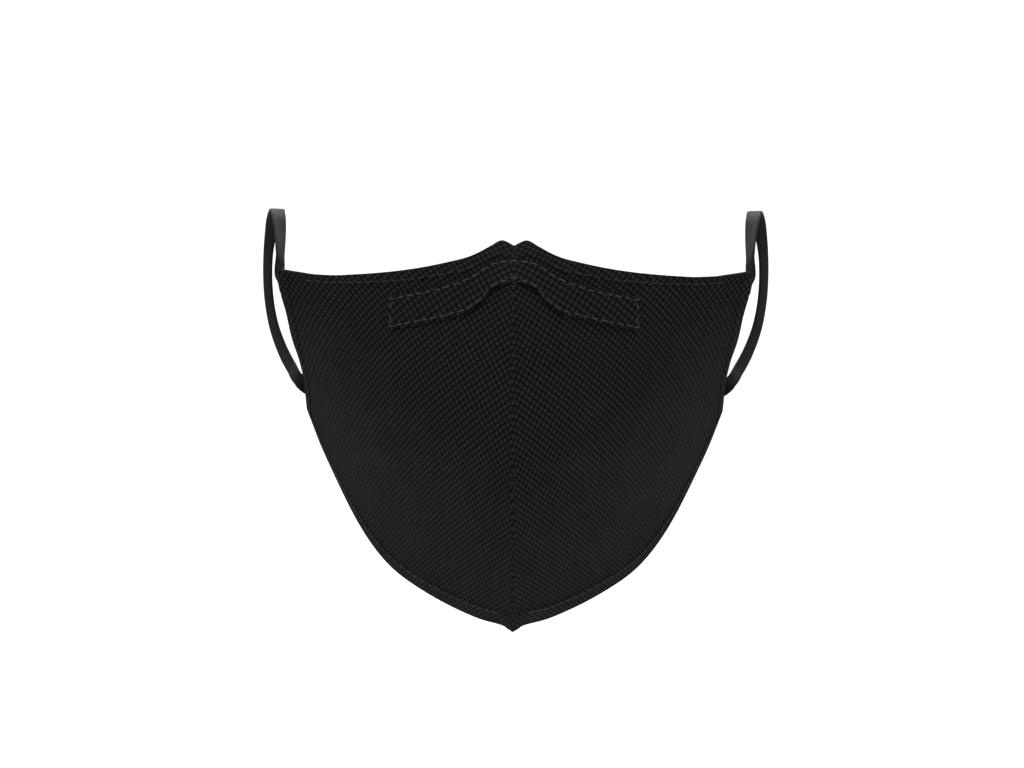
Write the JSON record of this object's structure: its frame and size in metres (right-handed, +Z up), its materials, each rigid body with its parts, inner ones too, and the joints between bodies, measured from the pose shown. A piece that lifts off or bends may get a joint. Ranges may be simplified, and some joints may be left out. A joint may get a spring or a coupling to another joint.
{
  "type": "respirator mask",
  "caption": "Black woven cloth half mask with a centre seam, stitched nose wire casing, hemmed edges and two flat elastic ear loops.",
  "frame": {"origin": "nose bridge, inside the top edge of the mask at the centre plane, where the worn mask rests", "axes": "+X to the right of the viewer facing the mask, +Y from the front back to the ears, +Z up"},
  "size_m": [0.168, 0.1091, 0.1353],
  "materials": {
    "cloth": "matte plain weave",
    "hem": "matte folded hem",
    "casing": "matte stitched weave",
    "elastic": "satin knitted elastic"
  },
  "bodies": {
    "root": {"left_panel": "cloth", "right_panel": "cloth", "left_top_hem": "hem", "right_top_hem": "hem", "left_side_hem": "hem", "right_side_hem": "hem", "left_bottom_hem": "hem", "right_bottom_hem": "hem", "centre_seam": "hem", "nose_wire_casing": "casing", "left_ear_loop": "elastic", "right_ear_loop": "elastic"}
  },
  "joints": []
}
